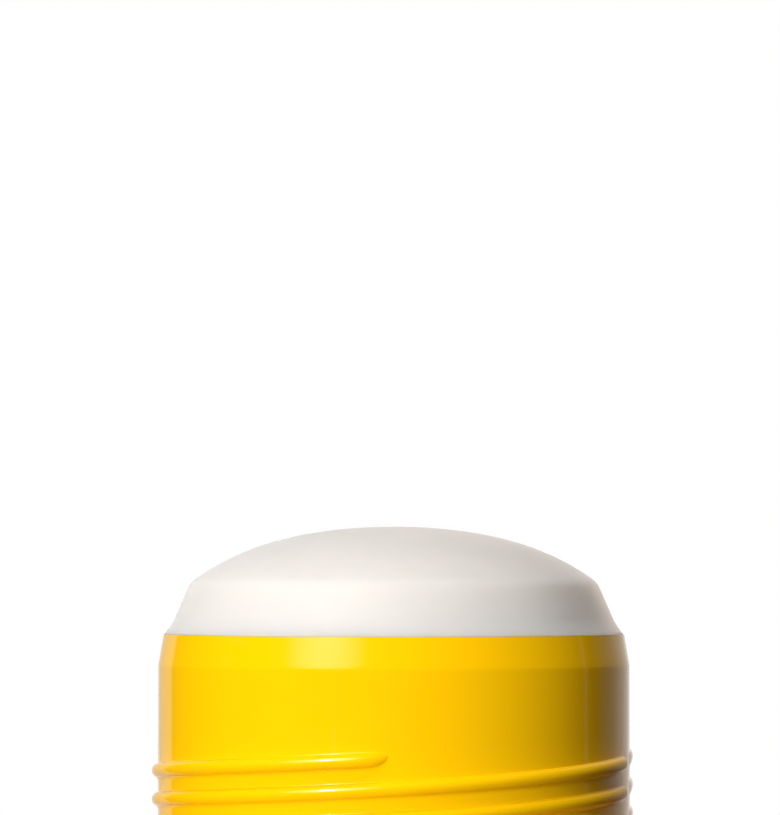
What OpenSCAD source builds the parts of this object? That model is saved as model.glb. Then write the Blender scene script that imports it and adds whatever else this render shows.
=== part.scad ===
// Twist-up deodorant stick with its cap off: a screw-necked barrel, a domed stick on a platform,
// and a hand wheel whose screw lifts the platform. Millimetres, +Z up, origin under the foot.

/* [Neck] */
// Outside diameter of the neck, which a cap slides over
neck_d = 38; // [32:0.5:46]
// How far the lip draws in from the neck, on the radius
lip_in = 0.45; // [0.3:0.05:0.6]
// Height over which the lip draws in
lip_h = 2.5; // [1.5:0.1:4]
// Bevel round the inside of the mouth
mouth_bevel = 0.75; // [0.4:0.05:0.85]
// Wall of the neck, which sets the bore
wall = 1.4; // [1.25:0.05:2]

/* [Cap thread] */
// Number of thread starts
thread_starts = 3; // [2:1:4]
// Rise of the thread in one turn
thread_lead = 6.9; // [5:0.1:9]
// Angle that each start runs through
thread_sweep = 285; // [200:5:340]
// How far the thread stands out of the neck
thread_proud = 0.54; // [0.3:0.02:0.8]
// Height of one thread rib
thread_width = 1.2; // [0.8:0.1:1.8]
// From the lip down to the middle of each rib's upper end
thread_below_lip = 9.3; // [6:0.1:14]
// Plain neck left under the lowest rib
thread_to_ring = 1.6; // [1:0.1:5]
// Direction of the rib end that faces the front
thread_start_angle = 268; // [0:1:359]
// Middle of the break across the ribs
thread_break_angle = -5; // [-20:0.5:20]
// Width of the break across the ribs, as an angle
thread_break_sweep = 24; // [10:1:40]

/* [Barrel] */
// How far the label panel stands out of the neck, on the radius
panel_proud = 0.8; // [0.4:0.1:1.5]
// How far the stop ring, foot ring and wheel stand out of the neck, on the radius
ring_proud = 1.8; // [1.6:0.1:3]
// Height of the stop ring that the cap closes on
stop_ring_h = 2.4; // [1.5:0.1:5]
// Height of the label panel
panel_h = 44.8; // [30:0.2:80]
// Height of the ring at the barrel's foot
foot_ring_h = 3; // [2:0.1:6]
// Bevel on the outer edges of the rings and the wheel
edge_bevel = 0.35; // [0.2:0.05:0.6]
// From the barrel's lower edge up to its floor
floor_up = 4.6; // [4:0.1:8]
// Thickness of the barrel's floor
floor_t = 1.6; // [1.2:0.1:3]
// Step from the bore out to the wider recess under the floor
recess_step = 0.6; // [0.3:0.1:1]
// Hole in the floor that the screw turns in
bearing_d = 7.2; // [6:0.1:9]

/* [Guide ribs] */
// Number of ribs inside the bore that keep the platform from turning
guide_count = 4; // [2:1:8]
// Width of a guide rib
guide_w = 1.2; // [0.8:0.1:2]
// How far a guide rib stands into the bore
guide_h = 0.8; // [0.5:0.05:1.1]
// From the lip down to the ribs' upper ends
guide_below_lip = 7; // [4:0.5:14]

/* [Lift screw] */
// Core diameter of the screw
core_d = 5.4; // [4:0.1:6.4]
// Depth of the screw's thread
screw_depth = 1.2; // [0.8:0.1:1.6]
// Rise of the screw in one turn
screw_lead = 5; // [4:0.25:8]
// Height of the screw's thread at its crest
screw_crest_w = 1.2; // [0.8:0.1:1.6]
// How far the screw's flange reaches past the bearing hole, on the radius
flange_lip = 2.4; // [1.5:0.1:4]
// Thickness of the screw's flange
flange_t = 1; // [0.6:0.1:2]
// Slot between the two prongs at the screw's foot
prong_slot = 1; // [0.6:0.1:1.4]
// How far each barb catches under the wheel
barb = 0.35; // [0.2:0.05:0.6]
// Height of a barb
barb_h = 1; // [0.6:0.1:1.2]

/* [Platform] */
// Thickness of the platform's plate
plate_t = 1.4; // [1:0.1:3]
// Height of the rim round the platform, with the plate
rim_h = 7; // [4:0.5:12]
// Wall of the rim
rim_wall = 1.3; // [1.2:0.1:2.5]
// Height of the nut at the platform's middle
nut_h = 9; // [7:0.5:16]
// Wall of the nut outside its thread
nut_wall = 2.1; // [1.2:0.1:3.5]
// Number of vanes that the stick is moulded round
vane_count = 4; // [3:1:8]
// Thickness of a vane
vane_t = 1.2; // [0.8:0.1:2]
// Height of a vane over the plate
vane_h = 4.6; // [2:0.2:5]
// From the lip down to the rim when the stick is all the way up
travel_end = 2.9; // [1:0.1:10]

/* [Stick] */
// Height of the dome's middle over the lip
dome_up = 8.65; // [5:0.05:12]
// How far the dome falls from its middle to its edge
dome_fall = 4.45; // [2:0.05:5]
// From the neck's outside in to the dome's edge, on the radius
dome_edge_in = 2.45; // [1.5:0.05:4]
// Radius that rounds the dome's edge
dome_edge_round = 0.6; // [0.3:0.05:0.9]
// Height over the lip where the slope begins to flare
flare_up = 0.85; // [0.5:0.05:1.5]
// From the neck's outside in to the slope where it begins to flare
flare_in = 1.12; // [1:0.02:1.3]
// Solid stick left over the screw's tip
cover_over_screw = 10; // [5:0.5:20]

/* [Hand wheel] */
// Height of the wheel's wall
wheel_h = 12; // [8:0.5:20]
// Wall of the wheel
wheel_wall = 1.6; // [1.2:0.1:3]
// Thickness of the wheel's bottom
wheel_floor_t = 1.6; // [1.2:0.1:2.5]
// Height of the foot under the wheel's bottom
foot_h = 1.6; // [1.3:0.1:3]
// Width of the foot
foot_w = 1.6; // [1:0.1:3]
// Height of the collar that reaches into the barrel
collar_h = 3.4; // [2:0.1:4]
// Wall of the collar
collar_wall = 1.2; // [0.8:0.1:2]
// Wall of the hub outside the screw's journal
hub_wall = 2; // [1.2:0.1:4]
// Number of grip flutes
flute_count = 48; // [24:4:72]
// Depth of a flute
flute_depth = 0.35; // [0.2:0.05:0.5]
// Radius of a flute's section
flute_r = 1.1; // [0.8:0.05:1.2]
// Plain band over and under the flutes
flute_band = 2; // [1:0.1:4]
// Number of spokes between hub and wall
spoke_count = 6; // [3:1:8]
// Thickness of a spoke
spoke_t = 1.2; // [0.8:0.1:2]
// Height of a spoke over the wheel's bottom
spoke_h = 5; // [2:0.2:8]

/* [Clearances] */
// Seam between the wheel and the barrel
seam = 0.4; // [0.2:0.05:0.8]
// Between the screw and its bearing, and at the faces that hold it
bearing_gap = 0.1; // [0.02:0.02:0.3]
// Between the wheel's collar and the barrel
collar_gap = 0.3; // [0.15:0.05:0.5]
// Between the screw's thread and the nut's
nut_gap = 0.2; // [0.1:0.05:0.3]
// Between the platform and the bore
rim_gap = 0.25; // [0.1:0.05:0.3]
// Between the guide ribs and their slots
guide_gap = 0.2; // [0.1:0.05:0.3]
// Between the stick and the bore
stick_gap = 0.15; // [0.05:0.05:0.25]
// Between the stick and the mouth's bevel, on the radius
mouth_gap = 0.1; // [0.05:0.05:0.2]
// Between the stick and the platform's upright faces
mould_gap = 0.05; // [0.02:0.01:0.1]
// Between the stick and the screw that runs inside it
channel_gap = 0.3; // [0.2:0.05:0.6]
// Between the platform and the screw's flange, all the way down
rest_gap = 0.35; // [0.2:0.05:0.8]
// Between the screw's foot and its square socket
socket_gap = 0.1; // [0.05:0.05:0.2]

/* [Hidden] */
$fn = 96;

// Small overlaps that join solids of one piece
join = 0.2;
turn_steps = 24;
rib_step = 7.5;
rib_points = 6;
thread_inset = 0.02;
thread_plain = 0.3;
dome_steps = 14;
round_steps = 4;
fillet = 0.4;

// Radii, from the axis out
neck_r = neck_d / 2;
bore_r = neck_r - wall;
lip_r = neck_r - lip_in;
mouth_r = bore_r + mouth_bevel;
lip_round = min(0.12, (lip_r - mouth_r) / 2);
panel_r = neck_r + panel_proud;
ring_r = neck_r + ring_proud;
recess_r = bore_r + recess_step;
bearing_r = bearing_d / 2;
journal_r = bearing_r - bearing_gap;
flange_r = bearing_r + flange_lip;
core_r = core_d / 2;
crest_r = core_r + screw_depth;
corner_play = 0.2;
shank_w = (journal_r - corner_play) * sqrt(2);
rim_r = bore_r - rim_gap;
rim_in_r = rim_r - rim_wall;
nut_r = crest_r + nut_gap + nut_wall;
stick_r = bore_r - stick_gap;
hub_r = journal_r + hub_wall;
collar_r = recess_r - collar_gap;

// Heights, from the ground up
barrel_z = wheel_h + seam;
panel_z = barrel_z + foot_ring_h;
stop_z = panel_z + panel_h;
neck_z = stop_z + stop_ring_h;
thread_fall = thread_lead * thread_sweep / 360;
lip_z = neck_z + thread_to_ring + thread_width / 2 + thread_fall + thread_below_lip;
thread_top_z = lip_z - thread_below_lip;
thread_z0 = neck_z + fillet + join;
thread_z1 = thread_top_z + thread_width / 2 + thread_plain;
floor_z = barrel_z + floor_up;
floor_top_z = floor_z + floor_t;
flange_z = floor_top_z + bearing_gap;
flange_top_z = flange_z + flange_t;
plate_z = flange_top_z + rest_gap;
plate_top_z = plate_z + plate_t;
rim_top_z = plate_z + rim_h;
nut_top_z = plate_z + nut_h;
travel = lip_z - travel_end - rim_top_z;
engaged = 1.15 * screw_lead;
screw_top_z = plate_z + travel + engaged;
tip_h = 1.2;
hub_top_z = floor_z - bearing_gap;
wheel_floor_z = foot_h + wheel_floor_t;
barb_play = 0.05;
barb_top_z = foot_h - barb_play;
guide_top_z = lip_z - guide_below_lip;
dome_top_z = lip_z + dome_up;
dome_edge_z = dome_top_z - dome_fall;
dome_edge_r = neck_r - dome_edge_in;
flare_r = neck_r - flare_in;
// The screw's channel never comes nearer the dome's middle than the stick's cover
channel_top_z = min(screw_top_z + tip_h + channel_gap, dome_top_z - cover_over_screw);

// Points of an arc about [x, z], from angle a to angle b
function arc(x, z, r, a, b, steps) =
    [for (i = [0 : steps]) let (t = a + (b - a) * i / steps) [x + r * cos(t), z + r * sin(t)]];

// A rod with one left-handed thread. Rings of four points, at the root and crest of the thread,
// follow the helix from z0, and flat ends close it. The thread grows out of the core at each end.
module threaded_rod(z0, z1, phase_z, core, crest, root_w, crest_w) {
    pitch = screw_lead;
    n = turn_steps;
    first = ceil((z0 + root_w - phase_z) / pitch * n);
    last = floor((z1 - root_w - phase_z) / pitch * n);
    count = last - first;
    grow = n / 4;
    function turn_of(i) = -360 * (i + first) / n;
    function height_of(i) = phase_z + pitch * (i + first) / n;
    function swell(i) = 0.04 + 0.96 * min(1, min(i, count - i) / grow);
    function on(r, a, z) = [r * cos(a), r * sin(a), z];
    helix = [for (i = [0 : count]) let (a = turn_of(i), z = height_of(i), s = swell(i))
        each [on(core, a, z - root_w / 2),
              on(core + (crest - core) * s, a, z - crest_w / 2),
              on(core + (crest - core) * s, a, z + crest_w / 2),
              on(core, a, z + root_w / 2)]];
    low = [for (i = [0 : n - 1]) on(core, turn_of(i), z0)];
    high = [for (i = [0 : n - 1]) on(core, turn_of(count - n + i), z1)];
    lo = len(helix);
    hi = lo + n;
    top = count - n;
    ridge = [for (i = [0 : count - 1], k = [0 : 2])
        [4 * i + k, 4 * (i + 1) + k, 4 * (i + 1) + k + 1, 4 * i + k + 1]];
    root = [for (i = [0 : top - 1])
        [4 * i + 3, 4 * (i + 1) + 3, 4 * (i + n + 1), 4 * (i + n)]];
    foot = [for (i = [0 : n - 2]) [lo + i, lo + i + 1, 4 * (i + 1), 4 * i]];
    foot_seam = [[lo + n - 1, lo, 0, 3, 4 * n, 4 * (n - 1)]];
    head = [for (i = [1 : n - 1])
        [4 * (top + i) + 3, 4 * (top + i + 1) + 3, hi + (i + 1) % n, hi + i]];
    head_seam = [[4 * (top + 1) + 3, hi + 1, hi, 4 * count + 3, 4 * count, 4 * top + 3]];
    ends = [[0, 1, 2, 3], [for (k = [3 : -1 : 0]) 4 * count + k]];
    caps = [[for (i = [n - 1 : -1 : 0]) lo + i], [for (i = [0 : n - 1]) hi + i]];
    polyhedron(concat(helix, low, high),
        concat(ridge, root, foot, foot_seam, head, head_seam, ends, caps), convexity = 20);
}

// The neck's threaded stretch from z0 to z1, as one closed rod. Columns of points stand round it,
// clockwise from the first rib's start. Each rib is a ridge over them with half an ellipse for its
// section, the plain wall fills in between, and a rib's free end runs out towards its top edge.
module threaded_neck(z0, z1) {
    starts = thread_starts;
    apart = 360 / starts;
    fine = 0.5;
    run_out = 4;
    least_run = 8;
    half = thread_width / 2;
    wall_r = neck_r - thread_inset;
    size = rib_points + 1;
    function snap(x) = fine * round(x / fine);
    function wrap(x) = x - 360 * floor(x / 360);
    sweep = snap(thread_sweep);
    gap = snap(thread_break_sweep);
    gap_x = snap(wrap(thread_start_angle - thread_break_angle - thread_break_sweep / 2));
    marks = concat(
        [for (x = [gap_x, gap_x + fine, gap_x + gap - fine, gap_x + gap]) wrap(x)],
        [for (m = [0 : starts - 1], x = [0, run_out / 2, run_out]) each
            [wrap(m * apart + x), wrap(m * apart + sweep - x)]]);
    function marked(x, reach) = len([for (e = marks) if (abs(e - x) < reach) e]) > 0;
    columns = [for (j = [0 : 360 / fine - 1]) let (x = j * fine)
        if (marked(x, fine / 2) || (x % rib_step == 0 && !marked(x, 0.4 * rib_step))) x];
    n = len(columns);
    function index(x) = [for (i = [0 : n - 1]) if (columns[i] == wrap(x)) i][0] + n * floor(x / 360);
    function angle(c) = columns[c % n] + 360 * floor(c / n);
    first = [for (m = [0 : starts - 1]) index(m * apart)];
    last = [for (m = [0 : starts - 1]) index(m * apart + sweep)];
    function before(m) = m == 0 ? 0 : before(m - 1) + size * (last[m - 1] - first[m - 1] + 1);
    function at(m, c, k) = m < 0 ? at(m + starts, c + n, k) : m >= starts ? at(m - starts, c - n, k)
        : before(m) + size * (c - first[m]) + k;
    function share(t) = 0.2 + 0.8 * min(1, t / run_out, (sweep - t) / run_out);
    function shown(m, t) = let (from = wrap(gap_x - m * apart), into = wrap(t - from))
        !(into > 0 && into < gap) && (t <= from ? from > least_run : sweep - from - gap > least_run);
    function proud(m, c, t) = shown(m, t) ? share(t) : c == first[m] || c == last[m] ? 0.04 : 0;
    function on(r, x, z) = [r * cos(thread_start_angle - x), r * sin(thread_start_angle - x), z];
    ribs = [for (m = [0 : starts - 1], c = [first[m] : last[m]])
        let (x = angle(c), t = x - m * apart, s = share(t), p = thread_proud * proud(m, c, t),
             z = thread_top_z - thread_lead * t / 360 + (t < run_out ? half * (1 - s) : 0))
        for (k = [0 : rib_points]) let (a = 180 * k / rib_points)
            on(wall_r + p * (k == rib_points ? 0 : sin(a)), x, z - half * s * cos(a))];
    lo = len(ribs);
    hi = lo + n;
    low = [for (x = columns) on(wall_r, x, z0)];
    high = [for (x = columns) on(wall_r, x, z1)];
    ridges = [for (m = [0 : starts - 1], c = [first[m] : last[m] - 1], k = [0 : rib_points - 1])
        each [[at(m, c, k), at(m, c + 1, k), at(m, c + 1, k + 1)],
              [at(m, c, k), at(m, c + 1, k + 1), at(m, c, k + 1)]]];
    between = [for (m = [0 : starts - 1]) let (end = m > 0 ? last[m - 1] : last[starts - 1] - n)
        for (c = [first[m] : end - 1])
            [at(m - 1, c, rib_points), at(m - 1, c + 1, rib_points), at(m, c + 1, 0), at(m, c, 0)]];
    over = [for (m = [0 : starts - 1]) let (end = m < starts - 1 ? first[m + 1] : n)
        for (c = [first[m] : end - 1])
            concat([at(m, c, rib_points), at(m, c + 1, rib_points)],
                c < end - 1 ? [] : [at(m + 1, c + 1, 0), at(m + 1, c + 1, rib_points)],
                [hi + (c + 1) % n, hi + c % n])];
    under = [for (m = [0 : starts - 1]) let (begin = m > 0 ? last[m - 1] : last[starts - 1] - n)
        for (c = [begin : last[m] - 1])
            concat([lo + (c + 1) % n, at(m, c + 1, 0), at(m, c, 0)],
                c > begin ? [] : [at(m - 1, c, rib_points), at(m - 1, c, 0)],
                [lo + c % n])];
    ends = [for (m = [0 : starts - 1]) each
        [[for (k = [0 : rib_points]) at(m, first[m], k)],
         [for (k = [rib_points : -1 : 0]) at(m, last[m], k)]]];
    caps = [[for (i = [n - 1 : -1 : 0]) lo + i], [for (i = [0 : n - 1]) hi + i]];
    polyhedron(concat(ribs, low, high), concat(ridges, between, over, under, ends, caps),
        convexity = 12);
}

// Half the outside of the barrel, filled in to the axis: rings, label panel, neck and drawn-in lip.
// Over its threaded stretch the neck is a slim core for the thread to close round.
function barrel_outside() = concat(
    [[0, barrel_z], [ring_r - edge_bevel, barrel_z], [ring_r, barrel_z + edge_bevel],
     [ring_r, panel_z - edge_bevel], [ring_r - edge_bevel, panel_z]],
    arc(panel_r + fillet, panel_z + fillet, fillet, 270, 180, round_steps),
    arc(panel_r + fillet, stop_z - fillet, fillet, 180, 90, round_steps),
    [[ring_r - edge_bevel, stop_z], [ring_r, stop_z + edge_bevel],
     [ring_r, neck_z - edge_bevel], [ring_r - edge_bevel, neck_z]],
    arc(neck_r + fillet, neck_z + fillet, fillet, 270, 180, round_steps),
    [[neck_r, thread_z0], [neck_r - wall / 2, thread_z0], [neck_r - wall / 2, thread_z1],
     [neck_r, thread_z1]],
    [[neck_r, lip_z - lip_h], [lip_r, lip_z - lip_round], [lip_r - lip_round, lip_z], [0, lip_z]]);

// Half the room inside the barrel: bore with its bevelled mouth, bearing hole and recess
function barrel_room() =
    [[0, lip_z + join], [mouth_r + join, lip_z + join], [bore_r, lip_z - mouth_bevel],
     [bore_r, floor_top_z], [bearing_r, floor_top_z], [bearing_r, floor_z], [recess_r, floor_z],
     [recess_r, barrel_z - join], [0, barrel_z - join]];

// One guide rib, with a sloped upper end
module guide_rib() {
    rotate([90, 0, 0])
        linear_extrude(guide_w, center = true)
            polygon([[bore_r - guide_h, floor_top_z - join],
                     [bore_r - guide_h, guide_top_z - guide_h],
                     [bore_r, guide_top_z],
                     [bore_r + join, guide_top_z],
                     [bore_r + join, floor_top_z - join]]);
}

module guide_places() {
    for (i = [0 : guide_count - 1])
        rotate(180 / guide_count + i * 360 / guide_count) children();
}

// A cut for one guide rib, from z0 to z1, with the clearance all round it
module guide_slot(z0, z1) {
    guide_places()
        translate([bore_r - guide_h - guide_gap, -guide_w / 2 - guide_gap, z0])
            cube([guide_h + wall, guide_w + 2 * guide_gap, z1 - z0]);
}

module barrel() {
    color("gold") union() {
        difference() {
            union() {
                rotate_extrude() polygon(barrel_outside());
                threaded_neck(thread_z0 - join, thread_z1 + join);
            }
            rotate_extrude() polygon(barrel_room());
        }
        guide_places() guide_rib();
    }
}

// Half the stick's section: seat on the plate, rim step, bore fit, flare, slope, dome and channel
function stick_section() = let (
        slope = atan2(dome_edge_z - (lip_z + flare_up), dome_edge_r - flare_r),
        dome_slope = atan2(-dome_fall * 2.4, dome_edge_r),
        round_x = dome_edge_r - dome_edge_round * sin(slope) * 1.02,
        round_z = dome_edge_z - dome_edge_round * 0.75,
        from_a = slope - 90,
        to_a = dome_slope + 90,
        channel_r = crest_r + channel_gap,
        inner_r = nut_r + mould_gap)
    concat(
        [[inner_r, plate_top_z], [rim_in_r - mould_gap, plate_top_z],
         [rim_in_r - mould_gap, rim_top_z + mould_gap], [stick_r, rim_top_z + mould_gap],
         [stick_r, lip_z - mouth_bevel + mouth_gap - stick_gap],
         [mouth_r - mouth_gap, lip_z], [mouth_r - mouth_gap, lip_z + 0.12],
         [(mouth_r - mouth_gap + flare_r) / 2 - 0.06, lip_z + 0.12 + (flare_up - 0.12) / 2 - 0.06],
         [flare_r, lip_z + flare_up]],
        arc(round_x, round_z, dome_edge_round, from_a, to_a, round_steps),
        [for (i = [1 : dome_steps]) let (r = round_x * (1 - i / dome_steps))
            [r, dome_top_z - dome_fall * pow(r / dome_edge_r, 2.4)]],
        [[0, channel_top_z], [channel_r, channel_top_z], [channel_r, nut_top_z + mould_gap],
         [inner_r, nut_top_z + mould_gap]]);

// The vanes of the platform, grown by g where the stick is cut round them
module vanes(g) {
    for (i = [0 : vane_count - 1])
        rotate(i * 360 / vane_count)
            translate([crest_r + nut_gap + nut_wall / 2, -vane_t / 2 - g, plate_top_z - join])
                cube([rim_in_r + rim_wall / 2 - crest_r - nut_gap - nut_wall / 2,
                      vane_t + 2 * g, vane_h + join + g]);
}

module deodorant() {
    color("ivory") difference() {
        rotate_extrude() polygon(stick_section());
        vanes(mould_gap);
        guide_slot(plate_z, guide_top_z + guide_gap);
    }
}

module platform() {
    root_w = screw_crest_w + screw_depth;
    color("whitesmoke") difference() {
        union() {
            rotate_extrude()
                polygon([[0, plate_z], [rim_r, plate_z], [rim_r, rim_top_z], [rim_in_r, rim_top_z],
                         [rim_in_r, plate_top_z], [nut_r, plate_top_z], [nut_r, nut_top_z],
                         [0, nut_top_z]]);
            vanes(0);
        }
        guide_slot(plate_z - join, rim_top_z + join);
        threaded_rod(plate_z - 1.6 * screw_lead, nut_top_z + 1.6 * screw_lead, plate_z,
            core_r + nut_gap, crest_r + nut_gap, root_w + 2 * nut_gap, screw_crest_w + 2 * nut_gap);
    }
}

// The screw's square foot, split into two prongs with barbs under the wheel
module prongs() {
    foot_z = barb_top_z - barb_h;
    lead_in = barb_h / 2;
    slot_top_z = hub_top_z - screw_lead;
    difference() {
        union() {
            translate([-shank_w / 2, -shank_w / 2, foot_z])
                cube([shank_w, shank_w, hub_top_z - foot_z + join]);
            for (side = [0, 180])
                rotate(side)
                    rotate([90, 0, 0])
                        linear_extrude(shank_w, center = true)
                            polygon([[prong_slot / 2, foot_z], [shank_w / 2 - barb, foot_z],
                                     [shank_w / 2 + barb, foot_z + lead_in],
                                     [shank_w / 2 + barb, barb_top_z],
                                     [prong_slot / 2, barb_top_z]]);
        }
        translate([-prong_slot / 2, -shank_w, foot_z - join])
            cube([prong_slot, 2 * shank_w, slot_top_z - foot_z + join]);
    }
}

module lift_screw() {
    root_w = screw_crest_w + screw_depth;
    color("whitesmoke") union() {
        prongs();
        translate([0, 0, hub_top_z]) cylinder(r = journal_r, h = flange_z - hub_top_z + join);
        translate([0, 0, flange_z]) cylinder(r = flange_r, h = flange_t);
        threaded_rod(flange_top_z - flange_t / 2, screw_top_z, plate_z, core_r, crest_r, root_w, screw_crest_w);
        translate([0, 0, screw_top_z - join])
            cylinder(r1 = 0.9 * core_r, r2 = 0.5 * core_r, h = tip_h + join);
    }
}

// Half the wheel's section: hub, bottom, foot, wall and collar
function wheel_section() = let (
        foot_out = ring_r - 2 * edge_bevel,
        wall_in = ring_r - flute_depth - wheel_wall,
        collar_in = collar_r - collar_wall)
    [[0, foot_h], [foot_out - foot_w, foot_h], [foot_out - foot_w, 0], [foot_out, 0],
     [ring_r, 2 * edge_bevel], [ring_r, wheel_h - edge_bevel], [ring_r - edge_bevel, wheel_h],
     [collar_r, wheel_h], [collar_r, wheel_h + collar_h], [collar_in, wheel_h + collar_h],
     [collar_in, wheel_h - wheel_wall], [wall_in, wheel_h - wheel_wall - (wall_in - collar_in)],
     [wall_in, wheel_floor_z], [hub_r, wheel_floor_z], [hub_r, hub_top_z], [0, hub_top_z]];

module hand_wheel() {
    socket_w = shank_w + 2 * socket_gap;
    spoke_out = ring_r - flute_depth - wheel_wall / 2;
    color("gold") difference() {
        union() {
            rotate_extrude() polygon(wheel_section());
            for (i = [0 : spoke_count - 1])
                rotate(i * 360 / spoke_count)
                    translate([hub_r - hub_wall / 2, -spoke_t / 2, wheel_floor_z - join])
                        cube([spoke_out - hub_r + hub_wall / 2, spoke_t, spoke_h + join]);
        }
        translate([-socket_w / 2, -socket_w / 2, foot_h - join])
            cube([socket_w, socket_w, hub_top_z - foot_h + 2 * join]);
        for (i = [0 : flute_count - 1])
            rotate((i + 0.5) * 360 / flute_count)
                translate([ring_r + flute_r - flute_depth, 0, flute_band])
                    cylinder(r = flute_r, h = wheel_h - 2 * flute_band);
    }
}

barrel();
deodorant();
platform();
lift_screw();
hand_wheel();
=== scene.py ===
"""A twist-up deodorant stick with its cap off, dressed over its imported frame.

The yellow barrel, the ivory stick and the yellow hand wheel are surfaces worked out here as whole
numpy arrays. The platform and the lift screw stay as the frame has them and get their plastic.
"""

import logging
import math
from dataclasses import dataclass, field
from enum import Enum

import bpy
import numpy as np
from bpy.types import ID, Material, Node, NodeSocket, NodeTree, Object
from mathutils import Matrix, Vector


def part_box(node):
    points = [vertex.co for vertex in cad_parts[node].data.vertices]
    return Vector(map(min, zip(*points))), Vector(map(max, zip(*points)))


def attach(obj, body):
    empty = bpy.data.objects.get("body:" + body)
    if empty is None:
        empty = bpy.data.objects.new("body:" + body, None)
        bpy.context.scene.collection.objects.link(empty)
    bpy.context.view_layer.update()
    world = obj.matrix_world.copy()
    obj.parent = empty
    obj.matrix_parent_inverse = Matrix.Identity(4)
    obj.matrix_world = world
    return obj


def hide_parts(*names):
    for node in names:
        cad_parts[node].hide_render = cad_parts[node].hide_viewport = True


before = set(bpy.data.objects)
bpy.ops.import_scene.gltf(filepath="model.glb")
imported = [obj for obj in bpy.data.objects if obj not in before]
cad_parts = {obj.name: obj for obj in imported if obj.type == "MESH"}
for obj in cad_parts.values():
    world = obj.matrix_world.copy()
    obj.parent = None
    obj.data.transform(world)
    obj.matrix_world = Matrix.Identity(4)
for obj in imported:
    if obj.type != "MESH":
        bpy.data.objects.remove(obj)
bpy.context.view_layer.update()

log = logging.getLogger("deodorant_stick")

MM = 0.001
IMAGE_H = 815
# Numbers no further apart than EVEN are the same, and edges that turn by more than SHARP show.
EVEN = 1e-6
SHARP = math.radians(40.0)

Array = np.ndarray
Colour = tuple[float, float, float]
Pair = tuple[float, float]
WHITE = (1.0, 1.0, 1.0, 1.0)


class Body(Enum):
    """The bodies of the frame that pieces ride on."""

    BARREL = "barrel"
    WHEEL = "wheel"
    CARRIER = "carrier"


class End(Enum):
    """How a profile closes: on the axis at both ends or at its start only, or on itself."""

    POLES = "poles"
    START = "start"
    LOOP = "loop"


# -------- curves and surfaces


def arc(x: float, z: float, radius: float, start: float, stop: float, steps: int = 6) -> Array:
    """Points of a circle: centre plus radius times (cosine, sine) of an even run of angles.

    Args:
        x: Centre, out from the axis.
        z: Centre, up.
        radius: The circle's radius.
        start: First angle in degrees.
        stop: Last angle in degrees.
        steps: How many steps lie between them.

    Returns:
        Rows of (radius, height).
    """
    t = np.radians(np.linspace(start, stop, steps + 1))
    return np.column_stack([x + radius * np.cos(t), z + radius * np.sin(t)])


def bend(a: Pair, b: Pair, c: Pair, steps: int = 8) -> Array:
    """A quadratic curve: (1-t)^2 a + 2t(1-t) b + t^2 c for an even run of t from 0 to 1.

    Args:
        a: First point.
        b: The point that the curve leans towards.
        c: Last point.
        steps: How many steps lie between the ends.

    Returns:
        Rows of (radius, height).
    """
    t = np.linspace(0.0, 1.0, steps + 1)[:, None]
    return (1 - t) ** 2 * np.array(a) + 2 * t * (1 - t) * np.array(b) + t**2 * np.array(c)


def line(a: Pair, b: Pair, steps: int = 1) -> Array:
    """A straight run of points from a to b in even steps."""
    t = np.linspace(0.0, 1.0, steps + 1)[:, None]
    return (1 - t) * np.array(a) + t * np.array(b)


def profile(*parts: Array | Pair) -> Array:
    """Parts of a profile end to end, without the points that repeat the one before.

    Args:
        parts: Arrays of (radius, height), or single points.

    Returns:
        One array of (radius, height).
    """
    rows = np.vstack([np.atleast_2d(np.array(p, dtype=float)) for p in parts])
    keep = np.r_[True, np.hypot(*(rows[1:] - rows[:-1]).T) > EVEN]
    return rows[keep]


def smooth_step(x: Array, low: float, high: float) -> Array:
    """3u^2 - 2u^3, where u runs from 0 at low to 1 at high and is held between them."""
    u = np.clip((x - low) / (high - low), 0.0, 1.0)
    return u * u * (3 - 2 * u)


def columns_round(marks: Array, step: float, clear: float) -> Array:
    """Angles round a turned surface: the marks, and an even run that keeps clear of them.

    Args:
        marks: Angles that have to be among them, in degrees.
        step: The even run's step.
        clear: How close to a mark the even run may come.

    Returns:
        Rising angles from 0, under 360.
    """
    marks = np.unique(np.round(marks % 360.0, 4))
    even = np.arange(0.0, 360.0, step)
    near = np.abs((even[:, None] - marks[None, :] + 180.0) % 360.0 - 180.0).min(axis=1)
    return np.unique(np.round(np.r_[marks, even[near > clear]], 4))


def beside_guides(offsets: Array) -> Array:
    """Angles at the same offsets from each of the four guide ribs, which stand at 45 + 90 k."""
    return (45.0 + 90.0 * np.arange(4)[:, None] + offsets).ravel()


def off_guide(angle: Array) -> Array:
    """How far angles lie from the nearest guide rib, in degrees."""
    return np.abs(angle % 90.0 - 45.0)


def stand(name: str, data: ID) -> Object:
    """Adds an object to the scene, at the origin.

    Args:
        name: The object's name.
        data: Its mesh, lamp or camera.

    Returns:
        The new object.
    """
    made = bpy.data.objects.new(name, data)
    bpy.context.scene.collection.objects.link(made)
    return made


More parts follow.
